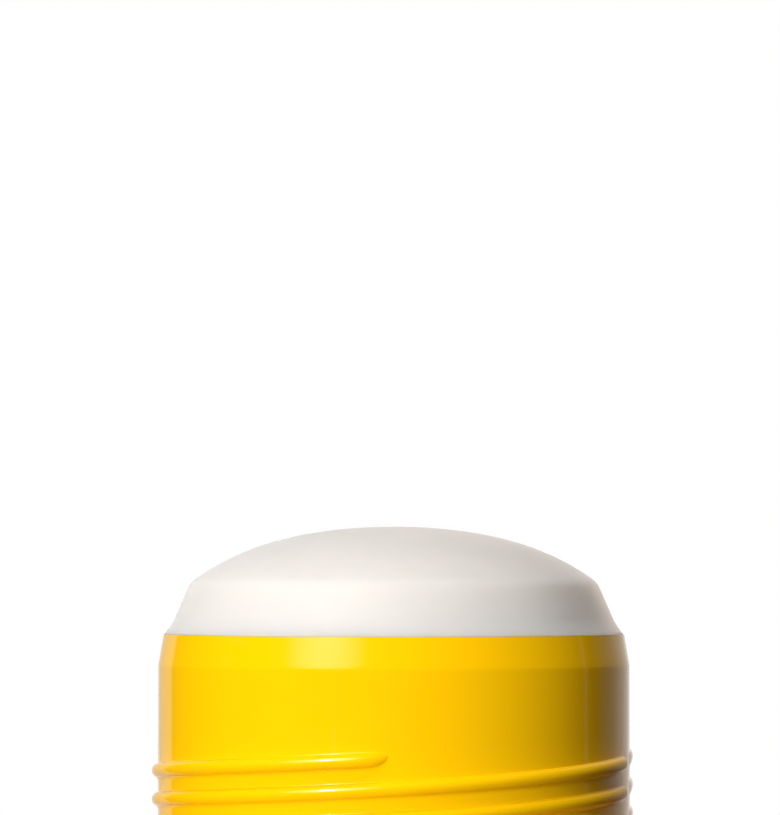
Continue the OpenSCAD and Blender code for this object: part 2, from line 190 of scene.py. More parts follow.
class Surface:
    """Points and faces gathered as arrays in millimetres, to be one mesh in metres."""

    def __init__(self) -> None:
        """An empty surface."""
        self.points: list[Array] = []
        self.faces: list[Array] = []
        self.count: int = 0

    def add_points(self, points: Array) -> Array:
        """Adds points and gives their numbers, in the points' own arrangement.

        Args:
            points: An array whose last axis is x, y, z.

        Returns:
            The new numbers, in the shape of the other axes.
        """
        flat = points.reshape(-1, 3)
        numbers = np.arange(self.count, self.count + len(flat)).reshape(points.shape[:-1])
        self.points.append(flat)
        self.count += len(flat)
        return numbers

    def add_faces(self, faces: Array) -> None:
        """Adds faces, one a row, all with the same number of corners."""
        self.faces.append(faces.reshape(-1, faces.shape[-1]))

    def add_strip(self, low: Array, high: Array) -> None:
        """Adds quads that face outwards between two rows of point numbers over falling angles."""
        self.add_faces(np.column_stack([low[:-1], high[:-1], high[1:], low[1:]]))

    def build(self, name: str) -> Object:
        """Makes the mesh object, smooth but for edges that turn by more than SHARP.

        Args:
            name: The object's name.

        Returns:
            The new object.
        """
        points = np.vstack(self.points) * MM
        corners = np.concatenate([f.ravel() for f in self.faces]).astype(np.int32)
        sizes = np.concatenate([np.full(len(f), f.shape[1]) for f in self.faces])
        starts = np.r_[0, np.cumsum(sizes)[:-1]].astype(np.int32)
        mesh = bpy.data.meshes.new(name)
        mesh.vertices.add(len(points))
        mesh.vertices.foreach_set("co", points.astype(np.float32).ravel())
        mesh.loops.add(len(corners))
        mesh.loops.foreach_set("vertex_index", corners)
        mesh.polygons.add(len(sizes))
        mesh.polygons.foreach_set("loop_start", starts)
        mesh.polygons.foreach_set("use_smooth", np.ones(len(sizes), dtype=bool))
        mesh.update(calc_edges=True)
        mesh.validate()
        mesh.set_sharp_from_angle(angle=SHARP)
        return stand(name, mesh)


def turned(radius: Array, angle: Array, height: Array) -> Array:
    """Points (r cos a, r sin a, h) from arrays that broadcast together; a is in degrees."""
    x, y = radius * np.cos(np.radians(angle)), radius * np.sin(np.radians(angle))
    return np.stack(np.broadcast_arrays(x, y, height), axis=-1)


def lathe(surface: Surface, radius: Array, angle: Array, height: Array, end: End,
          leave_out: int = -1) -> Array:
    """Adds a turned surface: point (i, j) is radius (i, j) out at angle i and height j.

    The profile runs down the outside, and the angles fall, so that the faces point outwards. The
    ends that lie on the axis are one point each.

    Args:
        surface: The surface that gets the points and faces.
        radius: Radii, one row for each angle.
        angle: Angles in degrees, one for each row.
        height: Heights, one for each column.
        end: How the profile closes.
        leave_out: The place in the profile after which no faces are made.

    Returns:
        The numbers of the points off the axis, (angle, profile).
    """
    off = slice(None if end is End.LOOP else 1, -1 if end is End.POLES else None)
    ring = surface.add_points(turned(radius[:, off], angle[:, None], height[None, off]))
    after = np.roll(ring, -1, axis=0)
    columns = ring.shape[1]
    j = np.arange(columns if end is End.LOOP else columns - 1)
    j = j[j != leave_out]
    k = (j + 1) % columns
    surface.add_faces(np.stack([ring[:, j], after[:, j], after[:, k], ring[:, k]], axis=-1))
    if end is not End.LOOP:
        pole = np.full(len(ring), surface.add_points(np.array([0.0, 0.0, height[0]])))
        surface.add_faces(np.column_stack([pole, after[:, 0], ring[:, 0]]))
    if end is End.POLES:
        pole = np.full(len(ring), surface.add_points(np.array([0.0, 0.0, height[-1]])))
        surface.add_faces(np.column_stack([pole, ring[:, -1], after[:, -1]]))
    return ring


# -------- the parts of the stick


@dataclass
class CapThread:
    """The cap's three-start thread on the neck, right-handed, with a break across its ribs.

    Angles are in degrees and run clockwise from the first rib's start, as seen from above.
    """

    starts: int = 3
    lead: float = 6.9
    sweep: float = 285.0
    start_angle: float = 268.6
    below_lip: float = 9.30
    proud: float = 0.5
    half_width: float = 0.57
    upper_fillet: float = 0.09
    lower_fillet: float = 0.45
    run_out: float = 5.0
    tip: float = 8.0
    tip_rise: float = 0.35
    break_from: float = 276.6
    break_to: float = 285.6
    taper: float = 15.0
    rounding: float = 1.3
    least_run: float = 8.0
    least_grown: float = 0.12
    tries: int = 2001

    def columns(self, step: float, extra: Array) -> Array:
        """Angles round the neck: an even run, and close ones where a rib starts, ends or breaks.

        Args:
            step: The even run's step.
            extra: Other angles that have to be among them.

        Returns:
            Rising angles from 0, under 360.
        """
        starts = self.apart * np.arange(self.starts)[:, None]
        run = self.run_out * (1 - np.cos(np.linspace(0, math.pi / 2, 11)))
        turned_in = self.rounding * (1 - np.cos(np.linspace(0, math.pi / 2, 7)))
        marks = np.concatenate([
            (starts + run).ravel(), (starts + self.sweep - run).ravel(),
            np.r_[self.break_from, self.break_to - 0.05], self.break_to + turned_in, extra])
        return columns_round(marks, step, 0.45 * step)

    @property
    def apart(self) -> float:
        """The angle between two starts."""
        return 360.0 / self.starts

    def section(self) -> tuple[Array, Array]:
        """A rib's section: half an ellipse on the wall, with a hollow fillet over and under it.

        The ellipse is (proud cos t, half width sin t). A fillet of radius f meets it where
        proud cos t + f n = f, with n the outward part of the ellipse's normal there, and the
        fillet's centre lies f along that normal.

        Returns:
            Height along the neck and how far the rib stands out, from bottom to top.
        """
        a, b = self.proud, self.half_width
        t = np.linspace(0.0, math.pi / 2, self.tries)
        edge = np.column_stack([a * np.cos(t), b * np.sin(t)])
        normal = np.column_stack([b * np.cos(t), a * np.sin(t)])
        normal /= np.hypot(*normal.T)[:, None]
        halves: list[Array] = []
        for fillet in (self.lower_fillet, self.upper_fillet):
            meet = int(np.argmin(np.abs(edge[:, 0] + fillet * (normal[:, 0] - 1.0))))
            middle = edge[meet] + fillet * normal[meet]
            turn = math.degrees(math.atan2(normal[meet, 1], normal[meet, 0]))
            foot = arc(middle[0], middle[1], fillet, 180.0, 180.0 + turn, 5)
            bead = np.linspace(t[meet], 0.0, 9)[1:]
            halves.append(np.vstack([foot, np.column_stack([a * np.cos(bead), b * np.sin(bead)])]))
        low, high = halves
        both = np.vstack([low * (1.0, -1.0), high[-2::-1]])
        return both[:, 1], both[:, 0]

    def growth(self, t: Array) -> Array:
        """How much of its section a rib has at t: a quarter circle at each end of its run."""
        u = np.clip(np.minimum(t, self.sweep - t) / self.run_out, 0.0, 1.0)
        return np.sqrt(1 - (1 - u) ** 2)

    def rise(self, t: Array) -> Array:
        """How far out a rib stands at t: 1 - (1 - u)^2, where u is t over the tip's length."""
        u = np.clip(np.minimum(t, self.sweep - t) / self.tip, 0.0, 1.0)
        return 1 - (1 - u) ** 2

    def shown(self, m: int, t: Array) -> Array:
        """How much of rib m's height the break across the ribs leaves at t.

        Before the break the rib falls to nothing in a straight line, and after it the rib rises in
        a quarter circle. A stub too short beside the break is left out.

        Args:
            m: The rib's number.
            t: Angles along its run.

        Returns:
            Shares from 0 to 1.
        """
        start = (self.break_from - m * self.apart) % 360.0
        past = (t - start) % 360.0 - (self.break_to - self.break_from)
        rest = self.sweep - start - (self.break_to - self.break_from)
        fall = np.clip((start - t) / self.taper, 0.0, 1.0) * (start > self.least_run)
        u = np.clip(past / self.rounding, 0.0, 1.0)
        rise = np.sqrt(1 - (1 - u) ** 2) * (rest > self.least_run)
        return np.where(t <= start + EVEN, fall, rise)

    def close(self, surface: Surface, x: Array, wall_r: float, lip_z: float, top: Array,
              bottom: Array) -> None:
        """Fills the neck between two rings with ribs and the plain wall between them.

        Rib m runs over the columns from its start to its end, at the height of the thread's
        helix, top - lead * t / 360. The wall closes against it above, below and at its ends.

        Args:
            surface: The surface that gets the points and faces.
            x: The columns' angles, clockwise from the first rib's start.
            wall_r: The neck's radius.
            lip_z: The lip's height.
            top: Numbers of the ring over the thread.
            bottom: Numbers of the ring under it.
        """
        n = len(x)
        up, out = self.section()
        edge = up.max()
        begins = self.apart * np.arange(self.starts)
        ends = begins + self.sweep
        first = np.searchsorted(x, begins - 1e-3)
        last = np.searchsorted(x, ends % 360.0 - 1e-3) + n * (ends // 360.0).astype(int)
        rows: list[Array] = []
        for m in range(self.starts):
            c = np.arange(first[m], last[m] + 1)
            angle = x[c % n] + 360.0 * (c // n)
            t = angle - begins[m]
            grown = self.growth(t)
            stands = self.rise(t) * self.shown(m, t)
            lift = np.where(t < self.run_out, self.tip_rise * edge * (1 - grown), 0.0)
            middle = lip_z - self.below_lip - self.lead * t / 360.0 + lift
            wide = np.maximum(grown, self.least_grown)
            rows.append(surface.add_points(turned(
                wall_r + stands[:, None] * out, (self.start_angle - angle)[:, None],
                middle[:, None] + wide[:, None] * up)))

        def run(m: int, c: int, stop: int, side: int) -> Array:
            """Numbers of rib m's points over columns c to stop, on side 0 (low) or -1 (high)."""
            begin = first[m % self.starts] + m // self.starts * n
            return rows[m % self.starts][c - begin:stop - begin + 1, side]

        for m in range(self.starts):
            rib = rows[m]
            for k in range(rib.shape[1] - 1):
                surface.add_strip(rib[:, k], rib[:, k + 1])
            before = last[m - 1] if m else last[-1] - n
            after = first[m + 1] if m < self.starts - 1 else n
            surface.add_strip(run(m - 1, first[m], before, -1), run(m, first[m], before, 0))
            over = np.arange(first[m], after)
            surface.add_strip(run(m, first[m], after - 1, -1), top[over % n])
            under = np.arange(before + 1, last[m] + 1)
            surface.add_strip(bottom[under % n], run(m, before + 1, last[m], 0))
            next_rib, done_rib = rows[(m + 1) % self.starts][0], rows[m - 1][-1]
            surface.add_faces(np.r_[
                top[[(after - 1) % n, after % n]], next_rib[::-1],
                run(m, after - 1, after, -1)[::-1]][None, :])
            surface.add_faces(np.r_[
                done_rib, run(m, before, before + 1, 0),
                bottom[[(before + 1) % n, before % n]]][None, :])


@dataclass
class ScrewNeckBarrel:
    """The yellow barrel: foot ring, label panel, stop ring, threaded neck, lip and bore."""

    lip_z: float
    foot_z: float = 12.4
    neck_r: float = 19.0
    panel_r: float = 19.8
    ring_r: float = 20.8
    foot_ring_h: float = 3.0
    panel_h: float = 44.8
    stop_ring_h: float = 2.4
    edge: float = 0.35
    corner: float = 0.4
    lip_in: float = 0.42
    lip_h: float = 2.45
    mouth_r: float = 18.35
    mouth_slope: float = 0.75
    bore_r: float = 17.6
    floor_z: float = 17.0
    floor_top_z: float = 18.6
    recess_r: float = 18.2
    bearing_r: float = 3.6
    guide_w: float = 1.2
    guide_h: float = 0.8
    guide_slope: float = 0.12
    guide_below_lip: float = 7.0
    plain_neck: float = 8.0
    lip_turn: float = 0.012
    inner_before_bore: int = 4
    step: float = 0.8
    thread: CapThread = field(default_factory=CapThread)

    def outside(self) -> tuple[Array, int]:
        """The outer profile, down from the lip, and the place in it over the thread.

        Returns:
            Rows of (radius, height), and the number of the row on which the thread begins.
        """
        e, f = self.edge, self.corner
        neck, ring, panel, top = self.neck_r, self.ring_r, self.panel_r, self.lip_z
        panel_z = self.foot_z + self.foot_ring_h
        stop_z = panel_z + self.panel_h
        neck_z = stop_z + self.stop_ring_h
        lip_r, lip_foot = neck - self.lip_in, top - self.lip_h
        over = profile(
            line((self.mouth_r, top), (lip_r, top), 2),
            line((lip_r, top), (neck - self.lip_turn, lip_foot + 0.05), 8),
            (neck, lip_foot - 0.06),
            line((neck, lip_foot - 0.3), (neck, top - self.plain_neck), 5))
        under = profile(
            (neck, neck_z + f + 0.2), arc(neck + f, neck_z + f, f, 180, 270),
            arc(ring - e, neck_z - e, e, 90, 0), arc(ring - e, stop_z + e, e, 0, -90),
            arc(panel + f, stop_z - f, f, 90, 180),
            line((panel, stop_z - f), (panel, panel_z + f), 12),
            arc(panel + f, panel_z + f, f, 180, 270),
            arc(ring - e, panel_z - e, e, 90, 0), arc(ring - e, self.foot_z + e, e, 0, -90))
        return np.vstack([over, under]), len(over) - 1

    def inside(self) -> Array:
        """The inner profile, in from the foot, up the recess, through the floor and up the bore."""
        bore, floor_top = self.bore_r, self.floor_top_z
        guide_z = self.lip_z - self.guide_below_lip
        return profile(
            (self.recess_r, self.foot_z), (self.recess_r, self.floor_z),
            (self.bearing_r, self.floor_z), (self.bearing_r, floor_top), (bore, floor_top),
            line((bore, floor_top + 0.02), (bore, guide_z - self.guide_h), 2),
            (bore, guide_z), (bore, self.lip_z - self.mouth_slope))

    def guide(self, angle: Array, height: Array) -> Array:
        """How far the guide ribs stand into the bore: full height inside their width, then a slope.

        Args:
            angle: Degrees round the bore.
            height: Heights of the bore's points.

        Returns:
            Depths, (angle, height).
        """
        half = math.degrees(self.guide_w / 2 / self.bore_r)
        across = np.clip(1 + (half - off_guide(angle)) / self.guide_slope, 0.0, 1.0)
        guide_z = self.lip_z - self.guide_below_lip
        along = np.clip((guide_z - height) / self.guide_h, 0.0, 1.0)
        along *= height > self.floor_top_z + 0.01
        return self.guide_h * across[:, None] * along[None, :]

    def build(self) -> Object:
        """Turns both profiles into one closed skin and closes the thread into the neck.

        Returns:
            The barrel's object.
        """
        surface = Surface()
        half = math.degrees(self.guide_w / 2 / self.bore_r)
        foot = half + self.guide_slope
        marks = beside_guides(np.r_[-foot, -half, half, foot])
        x = self.thread.columns(self.step, self.thread.start_angle - marks)
        angle = self.thread.start_angle - x
        outer, over = self.outside()
        inner = self.inside()
        rows = np.vstack([outer, inner])
        radius = np.tile(rows[:, 0], (len(x), 1))
        bore = slice(len(outer) + self.inner_before_bore, len(rows))
        radius[:, bore] -= self.guide(angle, rows[bore, 1])
        ring = lathe(surface, radius, angle, rows[:, 1], End.LOOP, leave_out=over)
        self.thread.close(surface, x, self.neck_r, self.lip_z, ring[:, over], ring[:, over + 1])
        return surface.build("barrel_skin")


@dataclass
class DomedStick:
    """The ivory stick: a shallow dome, a sloping side, a flare over the lip, and its grooves."""

    lip_z: float
    seat_z: float
    dome_up: float = 8.65
    dome_fall: float = 4.42
    dome_square: float = 0.65
    dome_r: float = 16.3
    dome_end_r: float = 16.0
    corner_r: float = 16.41
    corner_up: float = 4.14
    corner_cut: float = 0.42
    slope_r: float = 17.71
    slope_up: float = 1.17
    slope_cut: float = 0.3
    flare_r: float = 18.5
    flare_pull: Pair = (17.86, 0.75)
    flare_gap: float = 0.012
    flare_lip: float = 0.27
    body_r: float = 17.45
    body_top: float = 0.8
    rim_step_up: float = 5.65
    rim_r: float = 15.99
    nut_r: float = 6.15
    nut_up: float = 7.65
    channel_r: float = 4.1
    channel_top_z: float = 78.2
    groove_w: float = 1.6
    groove_floor: float = 16.6
    groove_slope: float = 0.06
    groove_below_lip: float = 6.8
    step: float = 1.25

    def outline(self) -> Array:
        """The profile, from the dome's middle down the outside, and up the screw's channel.

        The dome falls by fall * (s t^2 + (1 - s) t^4) at t of its radius, with s dome_square. A
        short curve rounds its edge, a straight slope follows, and a hollow curve flares out over
        the lip.

        Returns:
            Rows of (radius, height).
        """
        up, low = self.lip_z, self.seat_z
        t = np.sin(np.linspace(0.0, math.asin(self.dome_end_r / self.dome_r), 44))
        fall = self.dome_fall * (self.dome_square * t**2 + (1 - self.dome_square) * t**4)
        dome = np.column_stack([self.dome_r * t, up + self.dome_up - fall])
        slant = (self.slope_r - self.corner_r) / (self.corner_up - self.slope_up)
        below = (self.corner_r + slant * self.corner_cut, up + self.corner_up - self.corner_cut)
        flare_from = (self.slope_r - slant * self.slope_cut, up + self.slope_up + self.slope_cut)
        pull_r, pull_up = self.flare_pull
        flare_z, flare_in = up + self.flare_gap, self.flare_r - self.flare_lip
        groove_z, rim_z = up - self.groove_below_lip, low + self.rim_step_up
        nut_z = low + self.nut_up
        return profile(
            dome,
            bend(tuple(dome[-1]), (self.corner_r, up + self.corner_up), below, 8),
            line(below, flare_from, 8),
            bend(flare_from, (pull_r, up + pull_up), (self.flare_r, flare_z), 10),
            (flare_in, flare_z), (flare_in - 0.02, up - 0.1), (self.body_r, up - self.body_top),
            line((self.body_r, up - self.body_top - 0.2), (self.body_r, groove_z), 6),
            line((self.body_r, groove_z - 0.05), (self.body_r, rim_z), 30),
            (self.rim_r, rim_z), (self.rim_r, low), (self.nut_r, low), (self.nut_r, nut_z),
            (self.channel_r, nut_z), (self.channel_r, self.channel_top_z),
            (0.0, self.channel_top_z))

    def build(self) -> Object:
        """Turns the outline and sinks the guide ribs' grooves into it.

        A groove's floor is flat: its radius is floor / cos(angle off the groove's middle).

        Returns:
            The stick's object.
        """
        surface = Surface()
        rows = self.outline()
        half = math.degrees(self.groove_w / 2 / self.groove_floor)
        edge = half + self.groove_slope
        marks = beside_guides(np.r_[-edge, -half, 0.0, half, edge])
        angle = columns_round(marks, self.step, 0.4)[::-1]
        off = off_guide(angle)
        radius = np.tile(rows[:, 0], (len(angle), 1))
        body = (np.abs(rows[:, 0] - self.body_r) < EVEN) & (
            rows[:, 1] < self.lip_z - self.groove_below_lip - 0.01)
        floor = self.groove_floor / np.cos(np.radians(off))
        cut = off <= half + 1e-3
        radius[np.ix_(cut, body)] = floor[cut, None]
        lathe(surface, radius, angle, rows[:, 1], End.POLES)
        return surface.build("stick_skin")


@dataclass
class HandWheel:
    """The yellow hand wheel: fluted wall, foot, hub with a square socket, collar and spokes."""

    height: float = 12.0
    ring_r: float = 20.8
    edge: float = 0.45
    wall: float = 1.6
    foot_h: float = 1.6
    foot_w: float = 1.6
    foot_in: float = 0.7
    floor_top_z: float = 3.2
    collar_r: float = 17.9
    collar_wall: float = 1.2
    collar_up: float = 3.4
    hub_r: float = 5.5
    hub_top_z: float = 16.9
    socket_w: float = 4.87
    flutes: int = 48
    flute_depth: float = 0.35
    flute_r: float = 1.1
    flute_run: float = 0.6
    band: float = 2.0
    spokes: int = 6
    spoke_t: float = 1.2
    spoke_h: float = 5.0

    def flute(self, angle: Array, height: Array) -> Array:
        """Depth of the flutes: a circle's sagitta across, and a smooth step in at both ends.

        Args:
            angle: Degrees round the wheel.
            height: Heights of the wall's points.

        Returns:
            Depths, (angle, height).
        """
        pitch = 360.0 / self.flutes
        off = (angle % pitch) - pitch / 2
        along = np.radians(off) * self.ring_r
        inside = np.clip(self.flute_r**2 - along**2, 0.0, None)
        across = np.clip(np.sqrt(inside) - (self.flute_r - self.flute_depth), 0.0, None)
        top = self.height - self.band
        low = smooth_step(height, self.band, self.band + self.flute_run)
        high = 1.0 - smooth_step(height, top - self.flute_run, top)
        return across[:, None] * (low * high)[None, :]

    def outline(self) -> Array:
        """The profile as a loop: down the wall, under the foot, up the socket, round the hollow.

        Its points at radius 0 stand for the square socket's wall, which build() sets.

        Returns:
            Rows of (radius, height).
        """
        r, e = self.ring_r, self.edge
        foot_out = r - self.foot_in
        foot_mid = foot_out - self.foot_w
        wall_in = r - self.flute_depth - self.wall
        collar_in = self.collar_r - self.collar_wall
        collar_z = self.height + self.collar_up
        top, band = self.height - self.band, self.band
        ceiling = self.height - self.wall
        return profile(
            arc(r - e, self.height - e, e, 90, 0),
            line((r, top + 0.05), (r, top - self.flute_run - 0.05), 6),
            line((r, top - self.flute_run - 0.2), (r, band + self.flute_run + 0.2), 10),
            line((r, band + self.flute_run + 0.05), (r, band - 0.05), 6),
            bend((r, 1.1), (r, 0.35), (foot_out, 0.0), 8),
            line((foot_out, 0.0), (foot_mid + 0.2, 0.0), 2),
            (foot_mid, 0.2), (foot_mid, self.foot_h - 0.3),
            line((foot_mid - 0.3, self.foot_h), (4.2, self.foot_h), 8),
            (0.0, self.foot_h), (0.0, self.hub_top_z),
            (self.hub_r, self.hub_top_z), (self.hub_r, self.floor_top_z),
            (wall_in, self.floor_top_z), (wall_in, ceiling - (wall_in - collar_in)),
            (collar_in, ceiling), (collar_in, collar_z), (self.collar_r, collar_z),
            (self.collar_r, self.height))

    def build(self) -> Object:
        """Turns the outline, cuts the flutes and squares the socket, then stands the spokes in.

        The socket's wall is at half its width over the larger of |cos| and |sin|.

        Returns:
            The wheel's object.
        """
        surface = Surface()
        rows = self.outline()
        pitch = 360.0 / self.flutes
        chord = math.sqrt(self.flute_r**2 - (self.flute_r - self.flute_depth) ** 2)
        lip = math.degrees(chord / self.ring_r)
        across = np.r_[np.linspace(-lip, lip, 9), -lip - 0.12, lip + 0.12, pitch / 2] + pitch / 2
        angle = (np.arange(self.flutes)[:, None] * pitch + across).ravel() % 360.0
        angle = np.unique(np.round(angle, 4))[::-1]
        radius = np.tile(rows[:, 0], (len(angle), 1))
        wall = np.abs(rows[:, 0] - self.ring_r) < EVEN
        radius[:, wall] -= self.flute(angle, rows[wall, 1])
        turn = np.radians(angle)
        square = self.socket_w / 2 / np.maximum(np.abs(np.cos(turn)), np.abs(np.sin(turn)))
        radius[:, rows[:, 0] == 0.0] = square[:, None]
        lathe(surface, radius, angle, rows[:, 1], End.LOOP)
        self.stand_spokes(surface)
        return surface.build("wheel_skin")

    def stand_spokes(self, surface: Surface) -> None:
        """Adds the spokes: eight corners each, turned evenly round the axis.

        Args:
            surface: The surface that gets the points and faces.
        """
        inner, outer = self.hub_r - 0.6, self.ring_r - self.flute_depth - self.wall / 2
        half = self.spoke_t / 2
        low, high = self.floor_top_z - 0.2, self.floor_top_z + self.spoke_h
        corner = np.array([[x, y, z] for z in (low, high) for x, y in (
            (inner, -half), (outer, -half), (outer, half), (inner, half))])
        faces = np.array([[0, 3, 2, 1], [4, 5, 6, 7], [0, 1, 5, 4], [1, 2, 6, 5], [2, 3, 7, 6],
                          [3, 0, 4, 7]])
        for a in np.linspace(0.0, 2 * math.pi, self.spokes, endpoint=False):
            cos, sin = math.cos(a), math.sin(a)
            turn = np.array([[cos, sin, 0], [-sin, cos, 0], [0, 0, 1]])
            surface.add_faces(surface.add_points(corner @ turn)[faces])


# -------- finishes


class Bench:
    """A node tree with short ways to add and join nodes."""

    def __init__(self, tree: NodeTree) -> None:
        """Wraps a tree."""
        self.tree = tree

    def join(self, node: Node, values: dict[str | int, object]) -> None:
        """Sets inputs of a node to values, or joins sockets to them.

        Args:
            node: The node.
            values: The inputs' names or places, and what they get.
        """
        for key, value in values.items():
            if isinstance(value, NodeSocket):
                self.tree.links.new(value, node.inputs[key])
            else:
                node.inputs[key].default_value = value

    def add(self, kind: str, values: dict[str | int, object] | None = None,
            **settings: object) -> Node:
        """Adds a node.

        Args:
            kind: The node's type.
            values: Values of its inputs, or sockets to join to them.
            settings: The node's own settings.

        Returns:
            The new node.
        """
        node = self.tree.nodes.new(kind)
        for name, value in settings.items():
            setattr(node, name, value)
        self.join(node, values or {})
        return node

    def math(self, operation: str, a: object, b: object = 0.0) -> NodeSocket:
        """The result of a Math node on two values or sockets."""
        return self.add("ShaderNodeMath", {0: a, 1: b}, operation=operation).outputs[0]

    def vector(self, operation: str, a: object, b: object) -> NodeSocket:
        """The result of a Vector Math node on two values or sockets."""
        return self.add("ShaderNodeVectorMath", {0: a, 1: b}, operation=operation).outputs[0]

    def remap(self, value: object, low: float, high: float, to_low: float = 0.0,
              to_high: float = 1.0, way: str = "SMOOTHSTEP") -> NodeSocket:
        """A value carried from one range to another and held at its ends."""
        return self.add("ShaderNodeMapRange", {
            "Value": value, "From Min": low, "From Max": high, "To Min": to_low,
            "To Max": to_high}, interpolation_type=way).outputs["Result"]

    def mix(self, share: object, a: object, b: object) -> NodeSocket:
        """A colour between a and b."""
        return self.add("ShaderNodeMix", {0: share, 6: a, 7: b}, data_type="RGBA").outputs[2]

    def noise(self, where: NodeSocket, scale: object, **values: float) -> NodeSocket:
        """The value of a Noise Texture with other inputs by name."""
        return self.add("ShaderNodeTexNoise", {
            "Vector": where, "Scale": scale, **values}).outputs[0]

    def seen(self) -> NodeSocket:
        """1 for rays from the camera or through glass, and 0 for all others."""
        path = self.add("ShaderNodeLightPath").outputs
        return self.math("MAXIMUM", path["Is Camera Ray"], path["Is Transmission Ray"])

    def show(self, shader: Node, output: str = "ShaderNodeOutputMaterial") -> None:
        """Joins a shader to a new output node."""
        self.add(output, {"Surface": shader.outputs[0]})


def rgba(colour: Colour) -> tuple[float, float, float, float]:
    """A colour with full alpha."""
    return (*colour, 1.0)


def blank_material(name: str) -> tuple[Material, Bench]:
    """Makes a material with no nodes.

    Args:
        name: The material's name.

    Returns:
        The material and its bench.
    """
    material = bpy.data.materials.new(name)
    material.use_nodes = True
    material.node_tree.nodes.clear()
    return material, Bench(material.node_tree)


def new_group(name: str, inputs: dict[str, object], outputs: tuple[str, ...]
              ) -> tuple[Bench, bpy.types.NodeOutputs, Node]:
    """Makes a shader node group. A socket named Colour is a colour, and others are floats.

    Args:
        name: The group's name.
        inputs: The inputs' names and defaults.
        outputs: The outputs' names.

    Returns:
        The group's bench, its inputs as sockets, and its output node.
    """
    tree = bpy.data.node_groups.new(name, "ShaderNodeTree")
    for way, labels in (("INPUT", inputs), ("OUTPUT", outputs)):
        for label in labels:
            kind = "NodeSocketColor" if label == "Colour" else "NodeSocketFloat"
            socket = tree.interface.new_socket(name=label, in_out=way, socket_type=kind)
            if way == "INPUT":
                socket.default_value = inputs[label]
    get = tree.nodes.new("NodeGroupInput").outputs
    return Bench(tree), get, tree.nodes.new("NodeGroupOutput")


def moulded_skin_group() -> NodeTree:
    """The skin of a moulded plastic: colour drift, slight orange peel and faint flow lines.

    Returns:
        A group with Colour, Drift, Peel Scale and Roughness in, and Colour, Roughness and Height
        out.
    """
    bench, get, put = new_group(
        "moulded_skin", {"Colour": WHITE, "Drift": 0.03, "Peel Scale": 900.0, "Roughness": 0.2},
        ("Colour", "Roughness", "Height"))
    where = bench.add("ShaderNodeTexCoord").outputs["Object"]
    drawn = bench.add("ShaderNodeMapping", {"Vector": where, "Scale": (260.0, 260.0, 9.0)})
    cloud = bench.noise(where, 55.0, Detail=3.0)
    flow = bench.noise(drawn.outputs[0], 1.0, Detail=2.0)
    peel = bench.noise(where, get["Peel Scale"], Detail=1.5)
    sway = bench.math("MULTIPLY", bench.math("SUBTRACT", cloud, 0.5), get["Drift"])
    shade = bench.math("ADD", 1.0, bench.math("MULTIPLY", sway, 2.0))
    soft = bench.math("MULTIPLY", bench.math("SUBTRACT", flow, 0.5), 0.12)
    bench.join(put, {
        "Colour": bench.vector("MULTIPLY", get["Colour"], shade),
        "Roughness": bench.math(
            "MULTIPLY", get["Roughness"], bench.math("ADD", 1.0, soft)),
        "Height": bench.math(
            "ADD", bench.math("MULTIPLY", peel, 0.7), bench.math("MULTIPLY", flow, 0.3))})
    return bench.tree


def handling_group() -> NodeTree:
    """Traces of handling: hairline scratches in two directions, and soft smudges.

    Returns:
        A group with Amount in, and Scratches (0 to 1) and Smudges (0 to 1) out.
    """
    bench, get, put = new_group("handling_traces", {"Amount": 0.5}, ("Scratches", "Smudges"))
    where = bench.add("ShaderNodeTexCoord").outputs["Object"]
    lines: list[NodeSocket] = []
    for scale, turn in (((3400.0, 3400.0, 110.0), 0.5), ((190.0, 150.0, 3600.0), -0.35)):
        drawn = bench.add("ShaderNodeMapping", {
            "Vector": where, "Scale": scale, "Rotation": (turn, turn * 0.6, 0.4)})
        hair = bench.noise(drawn.outputs[0], 1.0, Detail=0.0)
        lines.append(bench.remap(hair, 0.74, 0.80))
    worn = bench.remap(bench.noise(where, 160.0, Detail=2.0), 0.5, 0.7)
    both = bench.math("MULTIPLY", bench.math("MAXIMUM", *lines), worn)
    smudge = bench.remap(bench.noise(where, 90.0, Detail=4.0, Distortion=0.8), 0.45, 0.75)
    bench.join(put, {"Scratches": bench.math("MULTIPLY", both, get["Amount"]),
                     "Smudges": bench.math("MULTIPLY", smudge, get["Amount"])})
    return bench.tree


